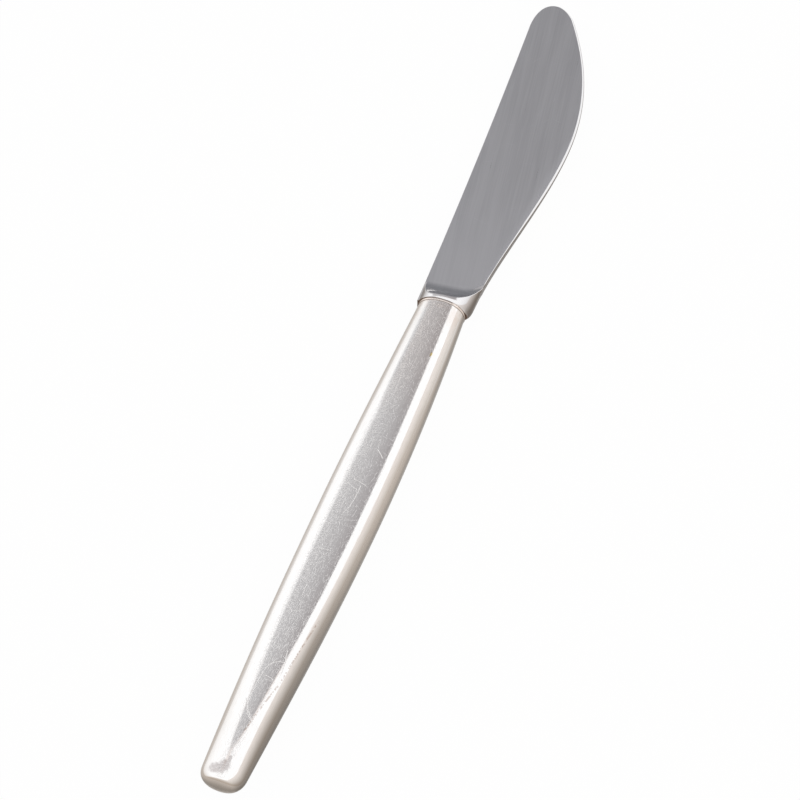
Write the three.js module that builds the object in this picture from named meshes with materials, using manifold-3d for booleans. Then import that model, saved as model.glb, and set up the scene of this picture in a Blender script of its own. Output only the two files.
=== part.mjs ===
// Table knife with a hollow silver handle. Millimetres, +Z up.
// The knife lies on its side: +X runs to the tip, +Y to the spine and -Y to the cutting edge.
// It is drawn about the handle's mouth, where x = 0, with the seam of the handle at z = 0.
import * as THREE from 'three';
import { LoftGeometry } from 'three/addons/geometries/LoftGeometry.js';
import { mergeVertices } from 'three/addons/utils/BufferGeometryUtils.js';
import Module from 'manifold-3d';

// Handle: places are distances back from the mouth
const handleLength = 129;
const mouthWidth = 10.4;
const mouthThickness = 6.8;
const mouthFlare = 0.05; // gain of half width per millimetre behind the mouth
const bellyAt = 56;
const bellyWidth = 13.8;
const mouthBow = 0.15; // how far the mouth, belly and butt sit towards the cutting edge
const bellyBow = 0.75;
const mouthLean = 0.026; // gain of bow per millimetre behind the mouth
const buttBow = 0.2;
const handleThickness = 8.6;
const crownStart = 34; // the handle keeps its full thickness from here
const crownEnd = 80; // to here, so that it can lie flat
const buttWidth = 9.4;
const buttThickness = 4.8;
const buttTaper = 0.055; // loss of half width per millimetre at the butt
const buttDive = 0.1; // loss of half thickness per millimetre at the butt
const buttRounding = 4;
const buttSquareness = 2.8;
const buttRoll = 1; // the butt's thickness rounds off over this length
const buttFlat = 0.2; // share of the thickness left at the very end
const handleSquareness = 2.4;
const buttSection = 2; // the handle's section grows rounder from the end of its flat
const buttSectionAt = 118; // to here
const shellWall = 0.8;

// Cap that closes the mouth, with a rounded lip
const capLength = 0.7;
const capLip = 0.12;
const capEdge = 0.2;

// Blade outline: places are distances forward of the mouth
const bladeReach = 89.5;
const spineAtMouth = 5.58;
const spineAtTip = 9.58;
const spineSag = 0.39;
const tipLength = 7.4; // the spine starts to round over this far before the tip
const tipSquareness = 2.4;
const tipHeight = 5.3;
const edgeAtMouth = 5.5;
const heelEdge = 6.42;
const heelRounding = 1.8;
const heelEnd = 6;
const heelSlope = 0.06;
const edgeBellyAt = 49.8;
const edgeBelly = 11;
const edgeRise = 13.7; // how far the edge climbs from its belly to the tip, before the tip's rounding
const edgeCurve = 2.08;
const edgeTipLength = 3;

// Blade thickness: each cheek is one flat, thinning to the tip and to the cutting edge
const heelThickness = 2.5;
const tipThickness = 1.1;
const edgeThickness = 0.84;
const cuttingEdge = 0.3; // a table knife's edge is blunt
const bevelAtHeel = 0.22;
const bevelAtBelly = 0.55;
const bevelAtTip = 0.48;
const bevelSlope = 0.37;
const bevelWidensAt = 12; // the bevel widens from here
const bevelWideAt = 42; // to here
const bevelNarrowsAt = 60; // and narrows from here
const bevelNarrowAt = 86; // to here
const spineRound = 0.1;
const grindStock = 0.4; // what the grinding takes off the forging
const stockEnd = 3; // the stock runs out between here and the cove

// Bolster, and the cove that the grinding leaves in front of it
const bolsterLength = 8;
const bolsterEnd = 5.5; // on the cutting edge's side the bolster runs out into the blade from here
const bolsterSlope = 0.06;
const bolsterSquareness = 2;
const bolsterCrest = 1.7; // how far the crest lies from the middle, towards the spine
const bolsterSide = 0.76; // half height of the bolster's upright side at the end of its length
const coveRadius = 5.5;
const coveAt = 5.55;
const coveSkew = 0.12;
const coveSweep = 0.0036; // carries the cove forward along the cutting edge
const coveSweepPower = 3.5;
const coveSweepEnd = 6.8; // the sweep stops at this distance from the knife's axis
const tangRoot = 0.3; // the tang is forged this far into the bolster

// Tang and the cement that holds it
const tangLength = 62;
const tangRootWidth = 6;
const tangRootThickness = 3;
const tangEndWidth = 4;
const tangEndThickness = 2;
const fitClearance = 0.3;

// How finely round shapes are cut into flats
const ringSides = 30;
const handleSteps = 8;
const buttSteps = 7;
const bladeSides = 22;
const heelSteps = 5;
const bolsterSteps = 12;
const bladeSteps = 20;
const tipSteps = 8;
const coveSteps = 10;
const sweepSteps = 12;
const lastStep = 0.06; // a rounded end closes in a small flat, this angle short of its pole

const { smoothstep } = THREE.MathUtils;

const wasm = await Module();
wasm.setup();

function solid(geometry) {
  const plain = new THREE.BufferGeometry().copy(geometry);
  plain.deleteAttribute('normal');
  plain.deleteAttribute('uv');
  const merged = mergeVertices(plain);
  return new wasm.Manifold(new wasm.Mesh({
    numProp: 3,
    vertProperties: merged.attributes.position.array,
    triVerts: new Uint32Array(merged.index.array),
  }));
}

function bufferGeometry(manifold) {
  const mesh = manifold.getMesh();
  const geometry = new THREE.BufferGeometry();
  geometry.setAttribute('position', new THREE.BufferAttribute(mesh.vertProperties, 3));
  geometry.setIndex(new THREE.BufferAttribute(mesh.triVerts, 1));
  geometry.computeVertexNormals();
  return geometry;
}

// Sections run towards +X, each one anticlockwise as seen from the tip
function loft(sections) {
  return solid(new LoftGeometry(sections, { capStart: true, capEnd: true }));
}

function steps(from, to, count) {
  return Array.from({ length: count + 1 }, (_, i) => from + (to - from) * i / count);
}

// Angles over a rounded end, from its start to the small flat that closes it
function roundSteps(count) {
  return steps(0, Math.PI / 2 - lastStep, count).slice(1);
}

// Cubic through two stations, each with its place, value and slope
function cubic(a, b, x) {
  const span = b.at - a.at;
  const t = (x - a.at) / span;
  const rise = t * t * (3 - 2 * t);
  const start = t * (1 - t) * (1 - t) * span * a.slope;
  const end = t * t * (t - 1) * span * b.slope;
  return a.value + (b.value - a.value) * rise + start + end;
}

function between(stations, x) {
  const last = stations.length - 2;
  const found = stations.findIndex((station, i) => i <= last && x <= stations[i + 1].at);
  const i = found < 0 ? last : found;
  return cubic(stations[i], stations[i + 1], x);
}

// Superellipse ring across the knife at x
function ring(x, centre, halfWidth, halfThickness, squareness) {
  const power = 2 / squareness;
  const bulge = (c) => Math.sign(c) * Math.abs(c) ** power;
  return Array.from({ length: ringSides }, (_, i) => {
    const angle = 2 * Math.PI * i / ringSides;
    const y = centre + halfWidth * bulge(Math.cos(angle));
    return new THREE.Vector3(x, y, halfThickness * bulge(Math.sin(angle)));
  });
}

function box(x, y, halfWidth, halfThickness) {
  return [[1, -1], [1, 1], [-1, 1], [-1, -1]].map(
    ([side, up]) => new THREE.Vector3(x, y + side * halfWidth, up * halfThickness),
  );
}

// Handle form at a distance behind the mouth
const widthStations = [
  { at: 0, value: mouthWidth / 2, slope: mouthFlare },
  { at: bellyAt, value: bellyWidth / 2, slope: 0 },
  { at: handleLength, value: buttWidth / 2, slope: -buttTaper },
];
const thicknessStations = [
  { at: 0, value: mouthThickness / 2, slope: mouthFlare },
  { at: crownStart, value: handleThickness / 2, slope: 0 },
  { at: crownEnd, value: handleThickness / 2, slope: 0 },
  { at: handleLength, value: buttThickness / 2, slope: -buttDive },
];
const bowStations = [
  { at: 0, value: -mouthBow, slope: -mouthLean },
  { at: bellyAt, value: -bellyBow, slope: 0 },
  { at: handleLength, value: -buttBow, slope: 0 },
];

function handleRing(back, inset, shrink = 1) {
  const rolled = Math.max(back + inset - handleLength + buttRoll, 0) / buttRoll;
  const roll = Math.sqrt(Math.max(1 - rolled * rolled, buttFlat * buttFlat));
  const halfWidth = (between(widthStations, back) - inset) * shrink;
  const halfThickness = (between(thicknessStations, back) - inset) * roll;
  const rounder = smoothstep(back, crownEnd, buttSectionAt);
  const squareness = handleSquareness + (buttSection - handleSquareness) * rounder;
  return ring(-back, between(bowStations, back), halfWidth, halfThickness, squareness);
}

// The handle's form from its rounded butt to a plane near the mouth, drawn in by an inset
function handleForm(front, inset) {
  const end = handleLength - inset;
  const straight = end - buttRounding;
  const power = 2 / buttSquareness;
  const rounded = roundSteps(buttSteps).map((angle) => {
    const reach = (Math.sin(angle) / Math.cos(lastStep)) ** power;
    return handleRing(straight + buttRounding * reach, inset, Math.cos(angle) ** power);
  });
  const marks = [
    ...steps(straight, crownEnd, handleSteps),
    ...steps(crownEnd, crownStart, handleSteps).slice(1),
    ...steps(crownStart, front, handleSteps).slice(1),
  ];
  return loft([...rounded.reverse(), ...marks.map((back) => handleRing(back, inset))]);
}

function halfSpace(side) {
  const reach = 2 * handleLength;
  return solid(new THREE.BoxGeometry(reach, reach, reach).translate(0, 0, side * reach / 2));
}

// The tang tapers from the bolster into the handle; it is grown by a clearance to cut its pocket
function tangForm(front, grow) {
  const end = tangLength + grow;
  return loft([
    box(-end, 0, tangEndWidth / 2 + grow, tangEndThickness / 2 + grow),
    box(front, 0, tangRootWidth / 2 + grow, tangRootThickness / 2 + grow),
  ]);
}

// Two stamped half shells, soldered together on the flat seam
function makeShell(side) {
  const hollow = handleForm(capLength - shellWall, shellWall);
  const shell = handleForm(capLength, 0).subtract(hollow);
  return bufferGeometry(shell.intersect(halfSpace(side)));
}

// Plate soldered over the mouth, with a lip round its rim and a slot for the tang
function makeCap() {
  const rim = [[capLength, 0], [capLength - capEdge, capLip], [capEdge, capLip], [0, 0]];
  const plate = loft(rim.map(([back, lip]) => handleRing(back, -lip)));
  return bufferGeometry(plate.subtract(tangForm(capLength, fitClearance)));
}

// Set cement that fills the shells round the tang
function makeFilling() {
  const body = handleForm(capLength + fitClearance, shellWall + fitClearance);
  return bufferGeometry(body.subtract(tangForm(capLength, fitClearance)));
}

// Draws an outline in to the tip over its last stretch
function tipRound(line, x, length) {
  const over = Math.min(Math.max(x - bladeReach + length, 0) / length, 1);
  return tipHeight + (line - tipHeight) * (1 - over ** tipSquareness) ** (1 / tipSquareness);
}

// Blade outline at a distance in front of the mouth
function spineAt(x) {
  const t = Math.min(x / (bladeReach - tipLength), 1);
  const line = spineAtMouth + (spineAtTip - spineAtMouth) * t - 4 * spineSag * t * (1 - t);
  return tipRound(line, x, tipLength);
}

function edgeAt(x) {
  if (x <= heelEnd) {
    const t = Math.max(1 - x / heelRounding, 0);
    return -edgeAtMouth - (heelEdge - edgeAtMouth) * Math.sqrt(1 - t * t);
  }
  if (x <= edgeBellyAt) {
    const heel = { at: heelEnd, value: -heelEdge, slope: -heelSlope };
    return cubic(heel, { at: edgeBellyAt, value: -edgeBelly, slope: 0 }, x);
  }
  const t = Math.min((x - edgeBellyAt) / (bladeReach - edgeBellyAt), 1);
  return tipRound(edgeRise * t ** edgeCurve - edgeBelly, x, edgeTipLength);
}

// Half thickness of the ground blade: the plane through heel, tip and cutting edge
const cheek = new THREE.Plane().setFromCoplanarPoints(
  new THREE.Vector3(heelEnd, spineAt(heelEnd), heelThickness / 2),
  new THREE.Vector3(edgeBellyAt, -edgeBelly, edgeThickness / 2),
  new THREE.Vector3(bladeReach - tipLength, spineAtTip, tipThickness / 2),
);

function cheekAt(x, y) {
  return -(cheek.normal.x * x + cheek.normal.y * y + cheek.constant) / cheek.normal.z;
}

// Height of the ground face over the cheek at a distance behind the start of the cove
function coveRise(run) {
  const over = Math.min(Math.max(run, 0), coveRadius);
  return coveRadius - Math.sqrt(coveRadius * coveRadius - over * over);
}

// Where the cove starts, on a line along the knife
function coveStart(y) {
  const past = Math.min(Math.max(-y, 0), coveSweepEnd);
  return coveAt - coveSkew * y + coveSweep * past ** coveSweepPower;
}

function groundAt(x, y) {
  return cheekAt(x, y) + coveRise(coveStart(y) - x);
}

function bevelAt(x) {
  const widening = (bevelAtBelly - bevelAtHeel) * smoothstep(x, bevelWidensAt, bevelWideAt);
  const narrowing = (bevelAtBelly - bevelAtTip) * smoothstep(x, bevelNarrowsAt, bevelNarrowAt);
  return bevelAtHeel + widening - narrowing;
}

// Bevel along the cutting edge, over the wall that the steel keeps below it
function facetAt(x, y, edge) {
  const width = bevelAt(x);
  const rim = Math.max(groundAt(x, edge + width) - bevelSlope * width, cuttingEdge / 2);
  return rim + bevelSlope * (y - edge);
}

// Bolster, which starts at the handle's mouth and runs out into the heel
function domeAt(x, y, edge, spine) {
  const height = mouthThickness / 2 - bolsterSlope * x;
  const crest = (spine + edge) / 2 + bolsterCrest;
  const reach = y > crest ? spine - crest : crest - edge;
  const across = Math.min(Math.abs(y - crest) / reach, 1);
  const round = (1 - across ** bolsterSquareness) ** (1 / bolsterSquareness);
  const side = bolsterSide * x / bolsterLength;
  return side + (height - side) * round;
}

// Half thickness of the forging before it is ground, a little over the cheeks
function forgingAt(x, y, edge, spine) {
  const stock = grindStock * smoothstep(x, stockEnd, coveAt);
  const rounded = cheekAt(x, spine) - Math.min(spineRound, (spine - edge) / 6) + (spine - y);
  const slab = Math.min(facetAt(x, y, edge), cheekAt(x, y) + stock, rounded);
  if (x >= bolsterLength) return slab;
  const dome = domeAt(x, y, edge, spine);
  if (2 * y > spine + edge) return Math.max(slab, dome);
  return dome + (slab - dome) * smoothstep(x, bolsterEnd, bolsterLength);
}

// Section of the forging's outline at one place, set up at another
function forgingSection(x, at) {
  const edge = edgeAt(x);
  const spine = spineAt(x);
  const upper = steps(0, Math.PI, bladeSides).map((angle) => {
    const share = (1 + Math.cos(angle)) / 2;
    const y = edge + (spine - edge) * share;
    return new THREE.Vector3(at, y, forgingAt(x, y, edge, spine));
  });
  const lower = upper.map((point) => new THREE.Vector3(at, point.y, -point.z)).reverse();
  return [...upper, ...lower];
}

// Everything over one cheek and its cove, from beside the spine to beside the edge
function grinding(side) {
  const past = 2 * edgeBelly;
  const profile = (y) => {
    const start = coveStart(y);
    const cove = steps(Math.PI / 2, 0, coveSteps).map((angle) => {
      const x = start - coveRadius * Math.sin(angle);
      return [x, groundAt(x, y)];
    });
    const ahead = bladeReach + coveRadius;
    const top = mouthThickness + coveRadius;
    const points = [...cove, [ahead, cheekAt(ahead, y)], [ahead, top], [start - coveRadius, top]];
    return points.map(([x, z]) => new THREE.Vector3(x, y, side * z));
  };
  const sections = [past, ...steps(0, -coveSweepEnd, sweepSteps), -past].map(profile);
  return loft(side > 0 ? sections : sections.reverse());
}

// Blade, bolster and tang are one forging
function makeBlade() {
  const straight = bladeReach - tipLength;
  const marks = [
    ...steps(0, heelRounding, heelSteps),
    ...steps(heelRounding, bolsterLength, bolsterSteps).slice(1),
    ...steps(bolsterLength, straight, bladeSteps).slice(1),
  ];
  const tip = roundSteps(tipSteps).map((angle) => {
    const reach = Math.sin(angle);
    return forgingSection(straight + tipLength * reach, straight + tipLength * reach / Math.cos(lastStep));
  });
  const forging = loft([...marks.map((x) => forgingSection(x, x)), ...tip]);
  const ground = forging.subtract(grinding(1)).subtract(grinding(-1));
  return bufferGeometry(ground.add(tangForm(tangRoot, 0)));
}

const silver = new THREE.MeshStandardMaterial({ color: 0xe4dfd8, roughness: 0.22, metalness: 1 });
const steel = new THREE.MeshStandardMaterial({ color: 0xa9aaad, roughness: 0.32, metalness: 1 });
const cement = new THREE.MeshStandardMaterial({ color: 0x5a4a3c, roughness: 0.95, metalness: 0 });

function piece(name, geometry, material) {
  const mesh = new THREE.Mesh(geometry, material);
  mesh.name = name;
  return mesh;
}

const drawn = new THREE.Group();
drawn.add(
  piece('blade', makeBlade(), steel),
  piece('handle_front_shell', makeShell(1), silver),
  piece('handle_back_shell', makeShell(-1), silver),
  piece('mouth_cap', makeCap(), silver),
  piece('handle_filling', makeFilling(), cement),
);

// The knife stands on its origin: the middle of the space it covers, at the surface it lies on
const extent = new THREE.Box3().setFromObject(drawn);
const middle = extent.getCenter(new THREE.Vector3());
drawn.position.set(-middle.x, -middle.y, -extent.min.z);

const knife = new THREE.Group();
knife.add(drawn);

export default knife;
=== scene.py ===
# Table knife with a hollow silver handle, dressed around its solids
# Lengths in the dictionaries are millimetres from the handle's mouth, +x to the tip, +y to the spine
import math
import bmesh
import bpy
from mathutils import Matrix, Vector


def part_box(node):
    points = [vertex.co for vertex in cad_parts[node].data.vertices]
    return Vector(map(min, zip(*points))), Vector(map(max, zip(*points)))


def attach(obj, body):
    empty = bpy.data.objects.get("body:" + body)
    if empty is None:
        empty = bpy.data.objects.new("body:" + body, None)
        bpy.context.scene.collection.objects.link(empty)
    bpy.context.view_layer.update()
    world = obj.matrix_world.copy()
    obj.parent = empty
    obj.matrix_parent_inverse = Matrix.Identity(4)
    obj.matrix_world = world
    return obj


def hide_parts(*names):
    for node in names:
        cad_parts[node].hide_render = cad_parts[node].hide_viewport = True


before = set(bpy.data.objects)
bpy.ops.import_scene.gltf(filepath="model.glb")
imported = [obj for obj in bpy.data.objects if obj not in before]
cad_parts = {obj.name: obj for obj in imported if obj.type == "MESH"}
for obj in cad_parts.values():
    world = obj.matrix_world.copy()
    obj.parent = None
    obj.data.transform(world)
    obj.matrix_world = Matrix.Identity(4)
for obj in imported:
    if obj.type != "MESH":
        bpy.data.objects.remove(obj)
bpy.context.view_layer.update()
mm = 0.001
spineAtTip = 9.58
bladeLow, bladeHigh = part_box("blade")
shellLow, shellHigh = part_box("handle_front_shell")
mouth = Vector((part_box("mouth_cap")[1].x, bladeHigh.y - spineAtTip * mm, shellLow.z))
print("frame loaded,", len(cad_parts), "nodes")


# Camera

cameraView = {
    "target": (-26.25, -0.10, 0.0),  # the point in the middle of the picture
    "lean": 36.0,  # degrees from straight overhead
    "turn": 20.852,  # degrees round from the butt towards the cutting edge
    "distance": 950.0,
    "lens": 200.85,
    "sensor": 36.0,
}


def viewDirection():
    lean = math.radians(cameraView["lean"])
    turn = math.radians(cameraView["turn"])
    flat = math.sin(lean)
    return Vector((-flat * math.cos(turn), -flat * math.sin(turn), math.cos(lean)))


def makeCamera():
    data = bpy.data.cameras.new("photoCamera")
    data.sensor_fit = "HORIZONTAL"
    data.sensor_width = cameraView["sensor"]
    data.lens = cameraView["lens"]
    camera = bpy.data.objects.new("photoCamera", data)
    bpy.context.scene.collection.objects.link(camera)
    back = viewDirection()
    camera.location = mouth + (Vector(cameraView["target"]) + back * cameraView["distance"]) * mm
    camera.rotation_euler = back.to_track_quat("Z", "Y").to_euler()
    bpy.context.scene.camera = camera


makeCamera()
bpy.context.scene.view_settings.view_transform = "Standard"
print("camera placed")


# Shader maths: expressions on a Wire add the nodes that work them out

class Wire:
    def __init__(self, shader, socket):
        self.shader = shader
        self.socket = socket

    def other(self, output):
        return Wire(self.shader, self.socket.node.outputs[output])

    def __add__(self, right):
        return self.shader.maths("ADD", self, right)

    def __radd__(self, left):
        return self.shader.maths("ADD", left, self)

    def __sub__(self, right):
        return self.shader.maths("SUBTRACT", self, right)

    def __rsub__(self, left):
        return self.shader.maths("SUBTRACT", left, self)

    def __mul__(self, right):
        return self.shader.maths("MULTIPLY", self, right)

    def __rmul__(self, left):
        return self.shader.maths("MULTIPLY", left, self)

    def __pow__(self, right):
        return self.shader.maths("POWER", self, right)

    def __abs__(self):
        return self.shader.maths("ABSOLUTE", self)


class Shader:
    def __init__(self, tree):
        self.tree = tree
        tree.nodes.clear()

    # Settings come first, because they decide which sockets a node has
    def node(self, kind, settings=None, values=None, output=0):
        made = self.tree.nodes.new(kind)
        for name, value in (settings or {}).items():
            setattr(made, name, value)
        for name, value in (values or {}).items():
            if isinstance(value, Wire):
                self.tree.links.new(value.socket, made.inputs[name])
            else:
                made.inputs[name].default_value = value
        return Wire(self, made.outputs[output]) if made.outputs else made

    def maths(self, operation, *terms):
        return self.node("ShaderNodeMath", {"operation": operation}, dict(enumerate(terms)))

    def vector(self, operation, *terms, output=0):
        return self.node("ShaderNodeVectorMath", {"operation": operation}, dict(enumerate(terms)), output)

    def smooth(self, value, low, high):
        span = {"Value": value, "From Min": low, "From Max": high}
        return self.node("ShaderNodeMapRange", {"interpolation_type": "SMOOTHSTEP"}, span)

    def ramp(self, value, low, high, first, second):
        return first + (second - first) * self.smooth(value, low, high)

    def mix(self, share, first, second):
        return self.node("ShaderNodeMix", {"data_type": "RGBA"}, {0: share, 6: first, 7: second}, 2)

    def parts(self, vector):
        x = self.node("ShaderNodeSeparateXYZ", values={0: vector})
        return x, x.other("Y"), x.other("Z")

    def noise(self, place, scale, detail=2.0):
        scaled = self.vector("MULTIPLY", place, scale)
        return self.node("ShaderNodeTexNoise", values={"Vector": scaled, "Scale": 1.0, "Detail": detail})


def newMaterial(name):
    material = bpy.data.materials.new(name)
    material.use_nodes = True
    return material, Shader(material.node_tree)


# Soft room: white all round, with a grey opening beyond the tip and a dim wall on the edge side

room = {
    "white": (1.10, 1.10, 1.10, 1),
    "opening": (0.395, 0.375, 0.378, 1),  # beside the white screen
    "openingPale": (0.57, 0.565, 0.57, 1),
    "openingFar": (0.25, 0.25, 0.26, 1),
    "openingEdge": (-0.149, 0.951, 0.270),  # the white screen ends here, and the opening is ahead of it
    "openingShift": 0.05,
    "openingPoint": (0.345, 0.31, 0.88),  # direction in which it closes to a point
    "openingFull": 0.52,  # from here on along +x it has its full width
    "openingTaper": 0.33,  # power of its narrowing to the point
    "openingSide": 0.536,
    "openingFlare": 0.11,  # gain of width further ahead
    "flareSpan": (0.55, 0.575),
    "paleAt": 0.65,  # it is palest this far from the white screen
    "farSpan": (0.60, 0.90),  # and darkens along +x over this stretch
    "pointBlur": 0.01,
    "edgeBlur": 0.012,
    "farBlur": 0.055,
    "farBlurClosed": 0.02,
    "rim": (0.92, 0.83, 0.78, 1),  # warm strip beside the opening where it closes
    "rimWidth": 0.07,
    "rimClosed": 0.3,
    "rimStart": 0.05,
    "wallEdge": (0.8, 0.816, 0.573),  # the wall is behind this
    "wallShift": -0.35,
    "wallTurn": 0.6,
    "wallBlur": 0.012,
    "wallDepth": -0.45,
    "wall": (0.88, 0.82, 0.775, 1),
    "wallFar": (0.80, 0.755, 0.71, 1),
}


def lightRoom():
    world = bpy.data.worlds.new("softRoom")
    bpy.context.scene.world = world
    world.use_nodes = True
    shader = Shader(world.node_tree)
    toward = shader.node("ShaderNodeTexCoord", output="Generated")
    x, y, z = shader.parts(toward)

    point = Vector(room["openingPoint"])
    closed = 1 - shader.smooth(x, point.x, room["openingFull"]) ** room["openingTaper"]
    past = shader.vector("DOT_PRODUCT", toward, room["openingEdge"], output="Value") + room["openingShift"]
    inside = past - closed * point.dot(room["openingEdge"])
    near = shader.smooth(inside, -room["edgeBlur"], room["edgeBlur"])
    flare = room["openingFlare"] * shader.smooth(x, *room["flareSpan"])
    beside = y + closed * (room["openingSide"] - point.y) - flare
    blur = room["farBlur"] + closed * (room["farBlurClosed"] - room["farBlur"])
    far = shader.smooth(beside, room["openingSide"] + blur, room["openingSide"] - blur)
    blur = room["pointBlur"]
    opening = near * far * shader.smooth(x, point.x - blur, point.x + blur)
    pale = shader.smooth(past, 0.0, room["paleAt"])
    openingColour = shader.mix(pale, room["opening"], room["openingPale"])
    ahead = shader.smooth(x, *room["farSpan"])
    openingColour = shader.mix(ahead, openingColour, room["openingFar"])

    edgeX, edgeY, edgeZ = room["wallEdge"]
    turned = shader.maths("MINIMUM", x, room["wallTurn"])
    behind = turned * edgeX + y * edgeY + z * edgeZ + room["wallShift"]
    wall = shader.smooth(behind, room["wallBlur"], -room["wallBlur"])
    deep = shader.smooth(behind, 0.0, room["wallDepth"])
    wallColour = shader.mix(deep, room["wall"], room["wallFar"])

    closing = far * shader.smooth(closed, 0.0, room["rimClosed"])
    closing = closing * shader.smooth(x, point.x - room["rimStart"], point.x)
    rim = shader.smooth(inside, -room["rimWidth"], -room["edgeBlur"]) * closing
    colour = shader.mix(rim, room["white"], room["rim"])
    colour = shader.mix(opening, colour, openingColour)
    colour = shader.mix(wall, colour, wallColour)
    sky = shader.node("ShaderNodeBackground", values={"Color": colour, "Strength": 1.0})
    shader.node("ShaderNodeOutputWorld", values={"Surface": sky})


lightRoom()
print("room lit")


# Floor: nearly plain white to the camera, so that only part of the knife's shadow shows on it

floorLook = {
    "size": 8.0,  # metres
    "white": (0.93, 0.93, 0.93, 1),
    "glow": 0.97,  # share of plain white that the camera sees
    "glowInMetal": 0.25,  # share of it in reflections
}


def makeFloor():
    half = floorLook["size"] / 2
    mesh = bpy.data.meshes.new("floor")
    corners = [(-half, -half, 0), (half, -half, 0), (half, half, 0), (-half, half, 0)]
    mesh.from_pydata(corners, [], [(0, 1, 2, 3)])
    floor = bpy.data.objects.new("floor", mesh)
    bpy.context.scene.collection.objects.link(floor)
    material, shader = newMaterial("whiteFloor")
    paint = shader.node("ShaderNodeBsdfDiffuse", values={"Color": floorLook["white"]})
    glow = shader.node("ShaderNodeEmission", values={"Color": (1, 1, 1, 1), "Strength": 1.0})
    camera = shader.node("ShaderNodeLightPath", output="Is Camera Ray")
    share = camera * floorLook["glow"] + camera.other("Is Glossy Ray") * floorLook["glowInMetal"]
    surface = shader.node("ShaderNodeMixShader", values={0: share, 1: paint, 2: glow})
    shader.node("ShaderNodeOutputMaterial", values={"Surface": surface})
    mesh.materials.append(material)


makeFloor()
print("floor laid")


# Forms and meshes

meshing = {
    "weld": 1e-7,  # metres
    "sliver": 1e-8,  # metres
    "sharp": 50.0,  # degrees
}


def smoothstep(x, low, high):
    t = min(max((x - low) / (high - low), 0), 1)
    return t * t * (3 - 2 * t)


def softMin(a, b, radius):
    overlap = max(radius - abs(a - b), 0) / radius
    return min(a, b) - overlap * overlap * radius / 4


# Cubic between two stations, each a place, a value and a slope
def cubic(first, second, x):
    span = second[0] - first[0]
    t = (x - first[0]) / span
    rise = first[1] + (second[1] - first[1]) * t * t * (3 - 2 * t)
    return rise + t * (1 - t) ** 2 * span * first[2] + t * t * (t - 1) * span * second[2]


def between(stations, x):
    for first, second in zip(stations, stations[1:]):
        if x <= second[0]:
            return cubic(first, second, x)
    return cubic(stations[-2], stations[-1], x)


# Joins rows of points into one mesh; a cap joins each point to its mirror in the row
def loft(name, rows, capFirst=False, capLast=False, closed=False):
    count = len(rows[0])
    points = [mouth + Vector(point) * mm for row in rows for point in row]
    bands = list(zip(range(len(rows) - 1), range(1, len(rows))))
    if closed:
        bands.append((len(rows) - 1, 0))
    faces = []
    for a, b in bands:
        for i in range(count):
            j = (i + 1) % count
            faces.append((a * count + i, a * count + j, b * count + j, b * count + i))
    capped = [0] * capFirst + [len(rows) - 1] * capLast
    for row in capped:
        for i in range(count // 2 - 1):
            j = count - 1 - i
            faces.append(tuple(row * count + k for k in (i, i + 1, j - 1, j)))
    mesh = bpy.data.meshes.new(name)
    mesh.from_pydata(points, [], faces)
    work = bmesh.new()
    work.from_mesh(mesh)
    bmesh.ops.remove_doubles(work, verts=work.verts, dist=meshing["weld"])
    bmesh.ops.dissolve_degenerate(work, edges=work.edges, dist=meshing["sliver"])
    bmesh.ops.recalc_face_normals(work, faces=work.faces)
    work.to_mesh(mesh)
    work.free()
    mesh.shade_smooth()
    mesh.set_sharp_from_angle(angle=math.radians(meshing["sharp"]))
    piece = bpy.data.objects.new(name, mesh)
    bpy.context.scene.collection.objects.link(piece)
    print("made", name, len(mesh.polygons), "faces")
    return piece


def dress(piece, node, slot, *materials):
    for material in materials:
        piece.data.materials.append(material)
    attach(piece, "root")
    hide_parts(node)


# Handle shells

handle = {
    "length": 129.0,
    "mouthWidth": 10.4,
    "mouthThickness": 6.8,
    "mouthFlare": 0.05,
    "bellyAt": 56.0,
    "bellyWidth": 13.8,
    "mouthBow": -0.15,
    "bellyBow": -0.75,
    "mouthLean": -0.026,
    "jointShift": 0.08,  # how far the joint lies behind the mouth in its middle
    "jointBow": 0.72,  # how much further at the sides
    "jointSkew": 0.03,  # and towards the spine, per millimetre
    "jointAhead": 3.0,  # the blade follows the joint's form to here
    "jointBehind": 14.0,  # and the handle to here
    "buttBow": -0.2,
    "crownStart": 34.0,
    "crownEnd": 80.0,
    "buttWidth": 9.4,
    "buttThickness": 4.8,
    "buttTaper": -0.055,
    "buttDive": -0.1,
    "buttRounding": 4.0,
    "buttSquareness": 2.8,
    "buttRoll": 1.0,
    "squareness": 2.4,
    "squarenessAtButt": 2.0,
    "squarenessEnd": 118.0,
    "wall": 0.8,
    "sides": 72,  # round one half shell
    "rows": 130,
    "buttRows": 40,
}

crown = (shellHigh.z - shellLow.z) / mm  # the solids' own half thickness
widthStations = [
    (0, handle["mouthWidth"] / 2, handle["mouthFlare"]),
    (handle["bellyAt"], handle["bellyWidth"] / 2, 0),
    (handle["length"], handle["buttWidth"] / 2, handle["buttTaper"]),
]
thicknessStations = [
    (0, handle["mouthThickness"] / 2, handle["mouthFlare"]),
    (handle["crownStart"], crown, 0),
    (handle["crownEnd"], crown, 0),
    (handle["length"], handle["buttThickness"] / 2, handle["buttDive"]),
]
bowStations = [
    (0, handle["mouthBow"], handle["mouthLean"]),
    (handle["bellyAt"], handle["bellyBow"], 0),
    (handle["length"], handle["buttBow"], 0),
]


# Place along the knife, moved back near the joint
def seated(x, y):
    ahead = smoothstep(x, 0, handle["jointAhead"])
    behind = smoothstep(-x, 0, handle["jointBehind"])
    near = 1 - max(ahead, behind)
    bow = handle["jointBow"] * min((2 * y / handle["mouthWidth"]) ** 2, 1)
    return x - near * (handle["jointShift"] + bow + handle["jointSkew"] * y)


def bulge(value, power):
    return math.copysign(abs(value) ** power, value)


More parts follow.
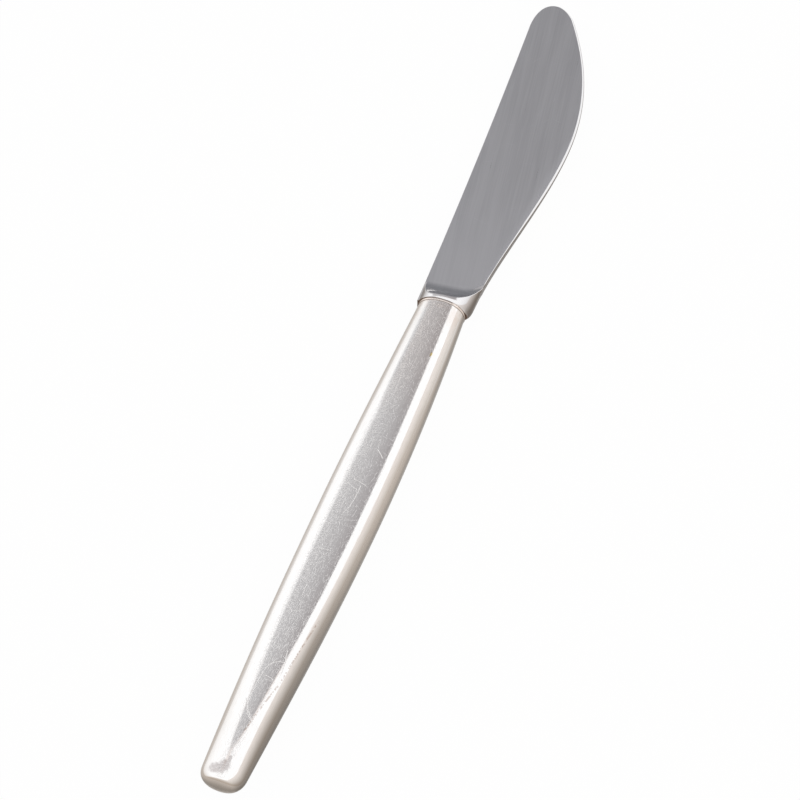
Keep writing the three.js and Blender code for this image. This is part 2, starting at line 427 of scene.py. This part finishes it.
# Point of the handle's form at an angle round its section, some way back from the mouth
def handlePoint(back, angle, inset=0.0, shrink=1.0):
    rounder = smoothstep(back, handle["crownEnd"], handle["squarenessEnd"])
    change = handle["squarenessAtButt"] - handle["squareness"]
    power = 2 / (handle["squareness"] + change * rounder)
    rolled = max(back + inset - handle["length"] + handle["buttRoll"], 0) / handle["buttRoll"]
    halfWidth = (between(widthStations, back) - inset) * shrink
    halfThickness = (between(thicknessStations, back) - inset) * math.sqrt(max(1 - rolled * rolled, 0))
    y = between(bowStations, back) + halfWidth * bulge(math.cos(angle), power)
    return (seated(-back, y), y, halfThickness * bulge(math.sin(angle), power))


# Places along the handle from a plane near the mouth to the butt, with how far the form has closed
def handleMarks(front, inset):
    straight = handle["length"] - inset - handle["buttRounding"]
    marks = []
    for i in range(handle["rows"]):
        marks.append((front + (straight - front) * i / handle["rows"], 1.0))
    power = 2 / handle["buttSquareness"]
    for i in range(handle["buttRows"] + 1):
        angle = math.pi / 2 * i / handle["buttRows"]
        reach = straight + handle["buttRounding"] * math.sin(angle) ** power
        marks.append((reach, max(math.cos(angle), 0) ** power))
    return marks


def makeShell(name, side):
    outerMarks = handleMarks(cap["length"], 0.0)
    innerMarks = handleMarks(cap["length"], handle["wall"])
    rows = []
    for (outerBack, outerShrink), (innerBack, innerShrink) in zip(outerMarks, innerMarks):
        outer = []
        inner = []
        for i in range(handle["sides"] + 1):
            angle = math.pi * i / handle["sides"]
            outer.append(handlePoint(outerBack, angle, 0.0, outerShrink))
            inner.append(handlePoint(innerBack, angle, handle["wall"], innerShrink))
        rows.append([(x, y, side * z) for x, y, z in outer + inner[::-1]])
    return loft(name, rows, capFirst=True)


# Mouth cap: a plate with a rounded lip and a slot for the tang

cap = {
    "length": 0.7,
    "lip": 0.12,
    "clearance": 0.3,
    "sides": 144,
    "lipRows": 14,
}


def makeCap(name):
    slot = [size / 2 + cap["clearance"] for size in blade["tangRoot"]]
    angles = [2 * math.pi * i / cap["sides"] for i in range(cap["sides"])]

    def slotRing(x):
        ring = []
        for angle in angles:
            reach = max(abs(math.cos(angle)), abs(math.sin(angle)))
            y = slot[0] * math.cos(angle) / reach
            ring.append((seated(x, y), y, slot[1] * math.sin(angle) / reach))
        return ring

    rows = [slotRing(-cap["length"])]
    for i in range(cap["lipRows"] + 1):
        turn = math.pi * i / cap["lipRows"]
        back = cap["length"] * (1 + math.cos(turn)) / 2
        rows.append([handlePoint(back, angle, -cap["lip"] * math.sin(turn)) for angle in angles])
    rows.append(slotRing(0.0))
    return loft(name, rows, closed=True)


# Blade, bolster and tang

blade = {
    "reach": 89.5,
    "spineAtMouth": 5.58,
    "spineAtTip": spineAtTip,
    "spineSag": 0.39,
    "tipLength": 7.4,
    "tipHeight": 5.3,
    "tipSquareness": 2.4,
    "edgeAtMouth": 5.5,
    "heelEdge": 6.42,
    "heelRounding": 1.8,
    "heelEnd": 6.0,
    "heelSlope": 0.06,
    "bellyAt": 49.8,
    "edgeBelly": 11.0,
    "edgeRise": 13.7,
    "edgeCurve": 2.08,
    "edgeTipLength": 3.0,
    "heelThickness": 2.5,
    "tipThickness": 1.1,
    "edgeThickness": 0.84,
    "bevelAtHeel": 0.22,
    "bevelAtBelly": 0.55,
    "bevelAtTip": 0.48,
    "bevelSlope": 0.37,
    "bevelWidens": (12.0, 42.0),
    "bevelNarrows": (60.0, 86.0),
    "bevelShare": 0.45,  # most of the blade's width that the bevel takes
    "edgeRound": 0.12,
    "spineRound": 0.06,
    "roundShare": 6.0,  # a rounding is at most the width divided by this
    "thinnest": 0.02,  # half thickness
    "tipWidth": 1e-6,  # a narrower row closes to a point
    "groundFacing": 0.5,  # a ground face is at least this upright
    "groundSlack": 0.01,
    "bolsterLength": 8.0,
    "bolsterSlope": 0.06,
    "bolsterRear": 0.22,  # fall of the rounded edge beside the handle
    "bolsterRearLength": 1.5,
    "bolsterCrest": 1.7,  # how far its crest lies from the middle, towards the spine
    "bolsterSquareness": 2.0,
    "bolsterSide": 0.76,  # height at which its front runs out into the heel
    "bolsterEnd": 5.5,
    "coveRadius": 5.5,
    "coveAt": 5.55,
    "coveSkew": 0.12,
    "coveSweep": 0.0036,  # carries the cove forward along the cutting edge
    "coveSweepPower": 3.5,
    "rimRound": 0.15,
    "ridgeRound": 0.2,
    "tangLength": 62.0,
    "tangRoot": (6.0, 3.0),
    "tangEnd": (4.0, 2.0),
    "columns": 160,
    "bolsterRows": 160,
    "bladeRows": 90,
    "tipRows": 40,
}


# Draws an outline in to the tip over its last stretch
def tipRound(line, x, length):
    over = min(max(x - blade["reach"] + length, 0) / length, 1)
    power = blade["tipSquareness"]
    return blade["tipHeight"] + (line - blade["tipHeight"]) * (1 - over ** power) ** (1 / power)


def spineAt(x):
    straight = blade["reach"] - blade["tipLength"]
    t = min(x / straight, 1)
    line = blade["spineAtMouth"] + (blade["spineAtTip"] - blade["spineAtMouth"]) * t
    line -= 4 * blade["spineSag"] * t * (1 - t)
    return tipRound(line, x, blade["tipLength"])


def edgeAt(x):
    if x <= blade["heelEnd"]:
        t = max(1 - x / blade["heelRounding"], 0)
        drop = (blade["heelEdge"] - blade["edgeAtMouth"]) * math.sqrt(1 - t * t)
        return -blade["edgeAtMouth"] - drop
    edgeBelly = (mouth.y - bladeLow.y) / mm
    if x <= blade["bellyAt"]:
        heel = (blade["heelEnd"], -blade["heelEdge"], -blade["heelSlope"])
        return cubic(heel, (blade["bellyAt"], -edgeBelly, 0), x)
    t = min((x - blade["bellyAt"]) / (blade["reach"] - blade["bellyAt"]), 1)
    curve = blade["edgeRise"] * t ** blade["edgeCurve"] - edgeBelly
    return tipRound(curve, x, blade["edgeTipLength"])


# Each cheek is the plane through heel, tip and cutting edge
cheekHeel = Vector((blade["heelEnd"], spineAt(blade["heelEnd"]), blade["heelThickness"] / 2))
cheekEdge = Vector((blade["bellyAt"], -blade["edgeBelly"], blade["edgeThickness"] / 2))
cheekTip = Vector((blade["reach"] - blade["tipLength"], blade["spineAtTip"], blade["tipThickness"] / 2))
cheekNormal = (cheekEdge - cheekHeel).cross(cheekTip - cheekHeel)


def cheekAt(x, y):
    run = cheekNormal.x * (x - cheekHeel.x) + cheekNormal.y * (y - cheekHeel.y)
    return cheekHeel.z - run / cheekNormal.z


# Ground face: the cheek, and the cove that it ends in before the bolster
def groundAt(x, y):
    sweep = blade["coveSweep"] * max(-y, 0) ** blade["coveSweepPower"]
    run = blade["coveAt"] - blade["coveSkew"] * y + sweep - x
    radius = blade["coveRadius"]
    if run <= 0:
        return cheekAt(x, y)
    if run >= radius:
        return cheekAt(x, y) + radius + run
    return cheekAt(x, y) + radius - math.sqrt(radius * radius - run * run)


def roundedCorner(height, radius, inside):
    over = min(max(radius - inside, 0), radius)
    return height - radius + math.sqrt(radius * radius - over * over)


def bevelAt(x):
    gain = blade["bevelAtBelly"] - blade["bevelAtHeel"]
    loss = blade["bevelAtTip"] - blade["bevelAtBelly"]
    wide = blade["bevelAtHeel"] + gain * smoothstep(x, *blade["bevelWidens"])
    return wide + loss * smoothstep(x, *blade["bevelNarrows"])


# Bevel along the cutting edge, over the wall that the steel keeps below it
def facetAt(x, y, edge, spine):
    width = spine - edge
    bevel = min(bevelAt(x), blade["bevelShare"] * width)
    slope = blade["bevelSlope"]
    rim = max(groundAt(x, edge + bevel) - slope * bevel, blade["edgeRound"])
    radius = min(blade["edgeRound"], width / blade["roundShare"])
    return roundedCorner(rim, radius, y - edge) + slope * (y - edge)


# Bolster, which starts at the handle's mouth and runs out into the heel
def domeAt(x, y, edge, spine):
    rear = blade["bolsterRear"] * max(1 - x / blade["bolsterRearLength"], 0) ** 2
    height = handle["mouthThickness"] / 2 - blade["bolsterSlope"] * x - rear
    crest = (spine + edge) / 2 + blade["bolsterCrest"]
    end = spine if y > crest else edge
    across = min((y - crest) / (end - crest), 1)
    power = blade["bolsterSquareness"]
    side = blade["bolsterSide"] * x / blade["bolsterLength"]
    return side + (height - side) * (1 - across ** power) ** (1 / power)


# Half thickness of the blade with its bolster
def forgingAt(x, y, edge, spine):
    width = spine - edge
    ground = groundAt(x, y)
    radius = min(blade["spineRound"], width / blade["roundShare"])
    corner = roundedCorner(cheekAt(x, spine), radius, spine - y)
    slab = min(cheekAt(x, y), ground, facetAt(x, y, edge, spine), corner)
    if x >= blade["bolsterLength"]:
        return slab
    bolster = softMin(domeAt(x, y, edge, spine), ground, blade["ridgeRound"])
    if 2 * y > spine + edge:
        return max(slab, bolster)
    return bolster + (slab - bolster) * smoothstep(x, blade["bolsterEnd"], blade["bolsterLength"])


def bladeMarks():
    straight = blade["reach"] - blade["tipLength"]
    marks = []
    for i in range(blade["bolsterRows"]):
        marks.append(blade["bolsterLength"] * i / blade["bolsterRows"])
    for i in range(blade["bladeRows"]):
        marks.append(blade["bolsterLength"] + (straight - blade["bolsterLength"]) * i / blade["bladeRows"])
    for i in range(blade["tipRows"] + 1):
        marks.append(straight + blade["tipLength"] * math.sin(math.pi / 2 * i / blade["tipRows"]))
    return marks


def mirrored(front):
    return front + [(x, y, -z) for x, y, z in front[::-1]]


def makeBlade(name):
    shares = [(1 - math.cos(math.pi * i / blade["columns"])) / 2 for i in range(blade["columns"] + 1)]
    rows = []
    for x, (width, thickness) in ((-blade["tangLength"], blade["tangEnd"]), (0.0, blade["tangRoot"])):
        across = [width * (share - 0.5) for share in shares]
        rows.append(mirrored([(seated(x, y), y, thickness / 2) for y in across]))
    for x in bladeMarks():
        edge = edgeAt(x)
        spine = spineAt(x)
        rim = blade["rimRound"]
        draw = rim - math.sqrt(rim * rim - max(rim - x, 0) ** 2)
        front = []
        for share in shares:
            if spine - edge < blade["tipWidth"]:
                front.append((x, blade["tipHeight"], 0.0))
                continue
            y = edge + (spine - edge) * share
            z = forgingAt(x, y, edge, spine)
            y += draw * (1 - 2 * share)
            front.append((seated(x, y), y, max(z - draw, blade["thinnest"])))
        rows.append(mirrored(front))
    return loft(name, rows, capFirst=True)


# First slot is ground steel, second the polished forging
def markGround(piece):
    for face in piece.data.polygons:
        x, y, z = (face.center - mouth) / mm
        level = abs(face.normal.z) > blade["groundFacing"]
        ground = level and x > 0 and abs(z) > groundAt(x, y) - blade["groundSlack"]
        face.material_index = 0 if ground else 1


# Finishes
# A pair of numbers is where a mask begins and ends, and a row of four adds its values there

# Place on the knife in millimetres from the mouth
def placeOn(shader):
    place = shader.node("ShaderNodeTexCoord", output="Object")
    scale = (1 / mm, 1 / mm, 1 / mm)
    return shader.vector("MULTIPLY_ADD", place, scale, -mouth / mm)


# How far the surface faces the spine, and how far it faces up or down
def facing(shader):
    normal = shader.node("ShaderNodeTexCoord", output="Normal")
    across, upright = shader.parts(normal)[1:]
    return across, abs(upright)


def surface(shader, values):
    metal = shader.node("ShaderNodeBsdfPrincipled", values=values)
    shader.node("ShaderNodeOutputMaterial", values={"Surface": metal})


def relief(shader, height, distance, strength=1.0):
    values = {"Height": height, "Strength": strength, "Distance": distance}
    return shader.node("ShaderNodeBump", values=values)


# Scratches: patterns of short hairlines, and longer marks one by one

hairlineForm = {
    "core": 0.3,  # share of its width that is full
    "even": 0.5,  # share of its reach
    "faintest": 0.35,
}
markForm = {
    "width": 0.09,
    "core": 3.0,  # its full middle is the width divided by this
    "even": 0.9,
    "front": (0.0, 1.0),  # of the height above the knife's middle
}
scratchLook = [
    {"cell": 0.6, "reach": 0.7, "width": 0.04, "bend": 0.05,
     "share": 0.8, "strength": 0.55, "lie": 4, "spread": 30},
    {"cell": 0.8, "reach": 0.8, "width": 0.04, "bend": 0.1,
     "share": 0.7, "strength": 0.5, "lie": -20, "spread": 60},
    {"cell": 0.9, "reach": 0.7, "width": 0.045, "bend": 0.1,
     "share": 0.6, "strength": 0.5, "lie": 80, "spread": 80},
    {"cell": 1.5, "reach": 0.9, "width": 0.05, "bend": 0.1,
     "share": 0.45, "strength": 0.8, "lie": 0, "spread": 360},
    {"cell": 2.6, "reach": 1.5, "width": 0.05, "bend": 0.1,
     "share": 0.35, "strength": 0.9, "lie": 0, "spread": 360},
    {"cell": 5.0, "reach": 2.6, "width": 0.05, "bend": 0.08,
     "share": 0.3, "strength": 0.9, "lie": 0, "spread": 360},
    {"cell": 12.0, "reach": 6.0, "width": 0.05, "bend": 0.03,
     "share": 0.3, "strength": 0.9, "lie": 0, "spread": 360},
]
# Short hairs across the handle, on the spine's side
hairLook = {
    "cell": 0.5, "reach": 0.5, "width": 0.05, "bend": 0.1,
    "share": 0.8, "strength": 1.3, "lie": 75, "spread": 60,
}
# Longer marks on the front: two ends and how far the middle bows out between them
markLook = [
    {"ends": ((-98.9, -2.7), (-102.1, 0.5)), "bow": -0.9},
    {"ends": ((-102.1, 0.5), (-110.9, 0.7)), "bow": -0.3},
    {"ends": ((-110.9, 0.7), (-113.5, -0.9)), "bow": -0.2},
    {"ends": ((-109.2, 1.5), (-114.1, -1.7)), "bow": -0.2},
    {"ends": ((-103.2, 0.2), (-103.6, -2.1)), "bow": 0.2},
    {"ends": ((-95.9, -2.2), (-105.1, -3.0)), "bow": 0.3},
    {"ends": ((-52.6, -1.4), (-57.3, -1.3)), "bow": 0.1},
    {"ends": ((-57.3, -1.3), (-60.5, -0.3)), "bow": 0.2},
    {"ends": ((-51.6, 0.6), (-52.5, -2.7)), "bow": 0.1},
    {"ends": ((-42.7, -1.2), (-44.6, -3.2)), "bow": 0.1},
    {"ends": ((-70.5, 1.6), (-70.2, -1.3)), "bow": 0.0},
    {"ends": ((-53.5, 2.1), (-53.0, 0.9)), "bow": 0.2},
    {"ends": ((-45.7, 2.6), (-45.0, 0.6)), "bow": 0.2},
    {"ends": ((-125.7, 3.0), (-124.8, -0.7)), "bow": 0.1},
    {"ends": ((-126.6, 2.4), (-125.4, -0.5)), "bow": 0.1},
]
# Dotted brown line towards the butt
dottedLook = [
    {"ends": ((-86.3, -5.4), (-103.9, -3.5)), "bow": -0.1, "width": 0.22},
    {"ends": ((-103.9, -3.5), (-119.5, -0.5)), "bow": -0.15, "width": 0.26},
]


# One curved hairline in some of the cells of a pattern, each at an angle of its own
def hairlines(shader, flat, look):
    pattern = {"voronoi_dimensions": "2D"}
    cells = shader.node("ShaderNodeTexVoronoi", pattern, {"Vector": flat, "Scale": 1 / look["cell"]})
    turn, bend, chance = shader.parts(cells.other("Color"))
    local = shader.vector("SUBTRACT", flat, cells.other("Position"))
    x, y = shader.parts(local)[:2]
    angle = math.radians(look["lie"]) + (turn - 0.5) * math.radians(look["spread"])
    cosine = shader.maths("COSINE", angle)
    sine = shader.maths("SINE", angle)
    along = x * cosine + y * sine
    across = y * cosine - x * sine - along * along * (bend - 0.5) * look["bend"]
    line = 1 - shader.smooth(abs(across), hairlineForm["core"] * look["width"], look["width"])
    ends = 1 - shader.smooth(abs(along), hairlineForm["even"] * look["reach"], look["reach"])
    picked = shader.maths("LESS_THAN", chance, look["share"])
    return line * ends * picked * look["strength"] * (hairlineForm["faintest"] + bend)


# One long mark, a shallow arc between two places on the front
def longMark(shader, x, y, z, look):
    start = Vector(look["ends"][0])
    end = Vector(look["ends"][1])
    half = (end - start).length / 2
    direction = (end - start).normalized()
    middle = (start + end) / 2
    along = (x - middle.x) * direction.x + (y - middle.y) * direction.y
    across = (y - middle.y) * direction.x - (x - middle.x) * direction.y
    arc = across - look["bow"] + along * along * (look["bow"] / half ** 2)
    width = look.get("width", markForm["width"])
    line = 1 - shader.smooth(abs(arc), width / markForm["core"], width)
    ends = shader.smooth(abs(along), half, markForm["even"] * half)
    return line * ends * shader.smooth(z, *markForm["front"])


# Dirt held in the joints at the mouth and behind the cap

grimeLook = {
    "colour": (0.15, 0.095, 0.065, 1),
    "mouthLine": (0.08, 0.24, 1.0, 0.0),
    "capLine": (0.03, 0.14, 0.55, 0.0),
    "roughness": 0.4,
    "cover": 0.6,  # how much of the metal's shine it takes
}


# Place along the knife, measured from the joint at the mouth
def fromJoint(shader, x, y):
    reach = shader.maths("MINIMUM", (y * (2 / handle["mouthWidth"])) ** 2, 1.0)
    return x + handle["jointShift"] + handle["jointBow"] * reach + handle["jointSkew"] * y


def jointGrime(shader, joint):
    mouthLine = shader.ramp(abs(joint), *grimeLook["mouthLine"])
    capLine = shader.ramp(abs(joint + cap["length"]), *grimeLook["capLine"])
    return shader.maths("MAXIMUM", mouthLine, capLine)


# Silver of the handle

silverLook = {
    "roll": 6.0,  # radius at which the surface is unrolled
    "drawnGrain": (0.5, 8.0, 8.0),
    "mottleGrain": (2.2, 2.2, 2.2),
    "scratchAlong": (-112.0, -92.0, 0.25, 1.0),
    "scratchAcross": (-3.2, 0.5, 0.35, 1.20),
    "scratchUpright": (0.95, 0.985, 0.15, 1.0),
    "hairAlong": (-110.0, -96.0),
    "hairAcross": (0.2, 1.6),

    "bright": (0.965, 0.955, 0.95, 1),
    "dulled": (0.90, 0.885, 0.88, 1),  # in fine streaks along the handle
    "dulledAt": (0.35, 0.65),
    "stain": (0.88, 0.82, 0.79, 1),  # warm tint at the neck, in patches beside the mouth
    "stainGrain": (0.35, 0.5, 0.5),
    "stainAt": (0.42, 0.62),
    "stainAlong": (-9.0, -1.0),
    "warmAlong": (-38.0, -12.0, 0.0, 0.55),
    "warmUpright": (0.955, 0.985),

    "sideShade": (0.56, 0.50, 0.445, 1),  # painted reflection and shade where the side turns down
    "sideShadeUpright": (0.93, 0.50),
    "neckAlong": (-45.0, -8.0),
    "neckSideShade": (0.2, -0.2, -0.06, 0.14),  # less on the edge side of the neck, more on the other
    "buttSideShade": (-100.0, -118.0, 0.0, 0.06),
    # Darker painted shade where the side turns down furthest
    "lowSideShade": (0.31, 0.275, 0.24, 1),
    "lowSideShadeUpright": (0.50, 0.0),
    "neckLowSideShade": 0.13,
    "dark": (0.13, 0.115, 0.10, 1),  # painted shade, deeper on the edge side, towards the butt
    "darkAcross": (-0.36, -0.90),
    "darkAlong": (-45.0, -122.0, 0.0, 0.66),

    "worn": (0.60, 0.565, 0.56, 1),
    # Middle and size of three patches that run together
    "wornAt": [
        ((-126.0, 1.3), (1.2, 1.5)),
        ((-125.2, -0.1), (1.6, 1.2)),
        ((-123.4, -0.6), (0.9, 0.45)),
    ],
    "wornGrain": (0.9, 0.9, 0.9),
    "wornClouds": 0.8,
    "wornMottle": 1.5,
    "wornBorder": (1.5, 0.3),
    "wornScratched": 0.8,  # how far scratches break it up
    "dotted": (0.46, 0.36, 0.31, 1),
    "dotGrain": (1.7, 1.7, 1.7),
    "dotAt": (0.47, 0.56, 0.0, 0.6),
    "speck": (0.93, 0.76, 0.40, 1),
    "speckAt": ((-15.2, -3.0), (0.6, 0.24)),
    "speckBorder": (1.2, 0.6),
    "front": (0.0, 0.5),  # of the height above the knife's middle
    "lip": (0.80, 0.66, 0.57, 1),
    "lipAlong": (-0.77, -0.42, 0.0, 0.5),  # from the joint

    "roughness": 0.035,
    "hazeAt": (0.40, 0.75, 0.0, 0.08),
    "clearAlong": (-88.0, -108.0, 1.0, 0.2),  # smoother towards the butt
    "drawnRoughness": 0.03,
    "scratchRoughness": 0.60,
    "rubbedAlong": (-20.0, -5.0, 0.0, 0.12),
    "rubbedAcross": (-0.5, 2.5),
    "mottleHeight": 0.03,
    "drawnHeight": 0.14,
    "scratchDepth": 0.000012,  # metres
}


# Place on the surface unrolled round the knife, in millimetres
def unrolled(shader, place):
    x, y, z = shader.parts(place)
    around = shader.maths("ARCTAN2", z, y) * silverLook["roll"]
    return shader.node("ShaderNodeCombineXYZ", values={"X": x, "Y": around})


# Square of the distance from the middle of an oval, which is 1 on its outline
def oval(x, y, middle, size):
    along = (x - middle[0]) * (1 / size[0])
    across = (y - middle[1]) * (1 / size[1])
    return along ** 2 + across ** 2


def silverScratches(shader, place, upright):
    x, y, z = shader.parts(place)
    flat = unrolled(shader, place)
    scratches = sum(hairlines(shader, flat, look) for look in scratchLook)
    scratches = scratches * shader.ramp(x, *silverLook["scratchAlong"])
    scratches = scratches * shader.ramp(y, *silverLook["scratchAcross"])
    hairs = hairlines(shader, flat, hairLook)
    hairs = hairs * shader.smooth(y, *silverLook["hairAcross"])
    scratches = scratches + hairs * shader.smooth(x, *silverLook["hairAlong"])
    scratches = scratches + sum(longMark(shader, x, y, z, look) for look in markLook)
    scratches = shader.maths("MINIMUM", scratches, 1.0)
    return scratches * shader.ramp(upright, *silverLook["scratchUpright"])


def addStain(shader, colour, place, upright):
    x = shader.parts(place)[0]
    patches = shader.smooth(shader.noise(place, silverLook["stainGrain"]), *silverLook["stainAt"])
    stain = shader.smooth(x, *silverLook["stainAlong"]) * patches
    warmth = shader.ramp(x, *silverLook["warmAlong"]) * shader.smooth(upright, *silverLook["warmUpright"])
    return shader.mix(shader.maths("MAXIMUM", stain, warmth), colour, silverLook["stain"])


# Painted reflection and shade, stronger the further the side turns down
def addSideShade(shader, colour, place, across, upright):
    x = shader.parts(place)[0]
    neck = shader.smooth(x, *silverLook["neckAlong"])
    turnedDown = upright + neck * shader.ramp(across, *silverLook["neckSideShade"])
    turnedDown = turnedDown - shader.ramp(x, *silverLook["buttSideShade"])
    colour = shader.mix(shader.smooth(turnedDown, *silverLook["sideShadeUpright"]), colour, silverLook["sideShade"])
    turnedDown = upright - silverLook["neckLowSideShade"] * neck
    lowShaded = shader.smooth(turnedDown, *silverLook["lowSideShadeUpright"])
    colour = shader.mix(lowShaded, colour, silverLook["lowSideShade"])
    edgeSideShade = shader.smooth(across, *silverLook["darkAcross"]) * shader.ramp(x, *silverLook["darkAlong"])
    return shader.mix(edgeSideShade, colour, silverLook["dark"])


# Worn patch at the butt, dotted line beside it and speck at the neck
def addMarks(shader, colour, place, mottle, scratches):
    x, y, z = shader.parts(place)
    front = shader.smooth(z, *silverLook["front"])
    first, *others = [oval(x, y, middle, size) for middle, size in silverLook["wornAt"]]
    away = first
    for other in others:
        away = shader.maths("MINIMUM", other, away)
    clouds = shader.noise(place, silverLook["wornGrain"], detail=1.0)
    away = away + (clouds - 0.5) * silverLook["wornClouds"] + (mottle - 0.5) * silverLook["wornMottle"]
    worn = shader.smooth(away, *silverLook["wornBorder"]) * front
    worn = worn * (1 - silverLook["wornScratched"] * scratches)
    colour = shader.mix(worn, colour, silverLook["worn"])
    dots = sum(longMark(shader, x, y, z, look) for look in dottedLook)
    grains = shader.noise(place, silverLook["dotGrain"], detail=1.0)
    dots = dots * shader.ramp(grains, *silverLook["dotAt"])
    colour = shader.mix(dots, colour, silverLook["dotted"])
    speck = shader.smooth(oval(x, y, *silverLook["speckAt"]), *silverLook["speckBorder"]) * front
    return shader.mix(speck, colour, silverLook["speck"])


def makeSilver():
    material, shader = newMaterial("wornSilver")
    place = placeOn(shader)
    x, y = shader.parts(place)[:2]
    across, upright = facing(shader)
    scratches = silverScratches(shader, place, upright)
    drawn = shader.noise(place, silverLook["drawnGrain"], detail=4.0)
    mottle = shader.noise(place, silverLook["mottleGrain"], detail=4.0)
    joint = fromJoint(shader, x, y)
    grime = jointGrime(shader, joint)

    dulled = shader.smooth(drawn, *silverLook["dulledAt"])
    colour = shader.mix(dulled, silverLook["bright"], silverLook["dulled"])
    colour = addStain(shader, colour, place, upright)
    # Painted reflection and shade on the sides as they turn down, deepest on the edge side
    colour = addSideShade(shader, colour, place, across, upright)
    colour = addMarks(shader, colour, place, mottle, scratches)
    colour = shader.mix(shader.ramp(joint, *silverLook["lipAlong"]), colour, silverLook["lip"])
    colour = shader.mix(grime, colour, grimeLook["colour"])

    clear = shader.ramp(x, *silverLook["clearAlong"])
    haze = shader.ramp(mottle, *silverLook["hazeAt"]) * clear
    rubbed = shader.ramp(x, *silverLook["rubbedAlong"]) * shader.smooth(y, *silverLook["rubbedAcross"])
    roughness = silverLook["roughness"] + haze + silverLook["drawnRoughness"] * drawn + rubbed
    roughness = roughness + silverLook["scratchRoughness"] * scratches + grimeLook["roughness"] * grime
    height = silverLook["mottleHeight"] * mottle + silverLook["drawnHeight"] * drawn * clear - scratches
    values = {
        "Base Color": colour,
        "Metallic": 1 - grimeLook["cover"] * grime,
        "Roughness": roughness,
        "Normal": relief(shader, height, silverLook["scratchDepth"]),
    }
    surface(shader, values)
    return material


# Ground steel of the blade

steelLook = {
    "colour": (0.585, 0.59, 0.615, 1),
    "dark": (0.515, 0.52, 0.545, 1),
    "brushing": 9.0,  # degrees from the blade's length
    "lineGrain": (0.06, 6.0, 6.0),
    "streakGrain": (0.03, 0.5, 0.5),
    "brushedAt": (0.35, 0.65),
    "pale": (0.665, 0.672, 0.705, 1),  # towards the heel and along the edge
    "edgeLean": 0.105,
    "edgePale": (-3.4, -5.8, 0.0, 0.75),
    "heelPale": (48.0, 6.0, 0.0, 0.35),
    "nickPale": 0.6,
    "nicks": [{**scratchLook[4], "share": 0.25}, {**scratchLook[6], "share": 0.4}],
    "mark": {"ends": ((25.0, 2.5), (24.3, -1.2)), "bow": 0.0},
    "roughness": 0.25,
    "lineRoughness": 0.1,
    "nickRoughness": 0.1,
    "nickHeight": 0.6,
    "brushDepth": 0.000004,  # metres
}


def makeGroundSteel():
    material, shader = newMaterial("groundSteel")
    place = placeOn(shader)
    x, y, z = shader.parts(place)
    turn = {"Vector": place, "Angle": -math.radians(steelLook["brushing"])}
    brushing = shader.node("ShaderNodeVectorRotate", {"rotation_type": "Z_AXIS"}, turn)
    lines = shader.noise(brushing, steelLook["lineGrain"], detail=4.0)
    streaks = shader.noise(brushing, steelLook["streakGrain"], detail=4.0)
    flat = shader.vector("MULTIPLY", place, (1.0, 1.0, 0.0))
    nicks = sum(hairlines(shader, flat, look) for look in steelLook["nicks"])
    nicks = nicks + longMark(shader, x, y, z, steelLook["mark"])
    brushed = shader.smooth((streaks + lines) * 0.5, *steelLook["brushedAt"])
    colour = shader.mix(brushed, steelLook["dark"], steelLook["colour"])
    edgePale = shader.ramp(y + steelLook["edgeLean"] * x, *steelLook["edgePale"])
    pale = shader.maths("MAXIMUM", edgePale, shader.ramp(x, *steelLook["heelPale"]))
    pale = shader.maths("MAXIMUM", pale, steelLook["nickPale"] * nicks)
    colour = shader.mix(pale, colour, steelLook["pale"])
    roughness = steelLook["roughness"] + steelLook["lineRoughness"] * lines
    height = lines - steelLook["nickHeight"] * nicks
    values = {
        "Base Color": colour,
        "Metallic": 1.0,
        "Roughness": roughness + steelLook["nickRoughness"] * nicks,
        "Normal": relief(shader, height, steelLook["brushDepth"]),
    }
    surface(shader, values)
    return material


# Polished steel of the bolster, spine and edge

polishLook = {
    "colour": (0.86, 0.85, 0.86, 1),
    # Painted reflection and shade on the walls that face the spine or the cutting edge
    "sideShade": (0.20, 0.175, 0.155, 1),
    "sideShadeAcross": (0.25, 0.85),
    "roughness": 0.08,
    "hazeGrain": (2.0, 2.0, 2.0),
    "hazeRoughness": 0.06,
}


def makePolishedSteel():
    material, shader = newMaterial("polishedSteel")
    place = placeOn(shader)
    x, y = shader.parts(place)[:2]
    haze = shader.noise(place, polishLook["hazeGrain"])
    # Painted shade on walls facing the spine or the edge
    sideShade = shader.smooth(abs(facing(shader)[0]), *polishLook["sideShadeAcross"])
    grime = jointGrime(shader, fromJoint(shader, x, y))
    colour = shader.mix(sideShade, polishLook["colour"], polishLook["sideShade"])
    roughness = polishLook["roughness"] + polishLook["hazeRoughness"] * haze
    values = {
        "Base Color": shader.mix(grime, colour, grimeLook["colour"]),
        "Metallic": 1 - grimeLook["cover"] * grime,
        "Roughness": roughness + grimeLook["roughness"] * grime,
    }
    surface(shader, values)
    return material


# Cement of the filling

cementLook = {
    "colour": (0.10, 0.07, 0.045, 1),
    "pale": (0.20, 0.15, 0.10, 1),
    "grain": (1.2, 1.2, 1.2),
    "roughness": 0.95,
    "relief": 0.6,
    "depth": 0.0002,  # metres
}


def makeCement():
    material, shader = newMaterial("cement")
    grains = shader.noise(placeOn(shader), cementLook["grain"], detail=4.0)
    values = {
        "Base Color": shader.mix(grains, cementLook["colour"], cementLook["pale"]),
        "Roughness": cementLook["roughness"],
        "Normal": relief(shader, grains, cementLook["depth"], cementLook["relief"]),
    }
    surface(shader, values)
    return material


# Pieces on the frame

silver = makeSilver()
dress(makeShell("frontShell", 1), "handle_front_shell", "silver", silver)
dress(makeShell("backShell", -1), "handle_back_shell", "silver", silver)
dress(makeCap("mouthCap"), "mouth_cap", "silver", silver)
forging = makeBlade("bladeForging")
markGround(forging)
dress(forging, "blade", "steel", makeGroundSteel(), makePolishedSteel())
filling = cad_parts["handle_filling"]
filling.data.materials.clear()
filling.data.materials.append(makeCement())
print("finishes done")
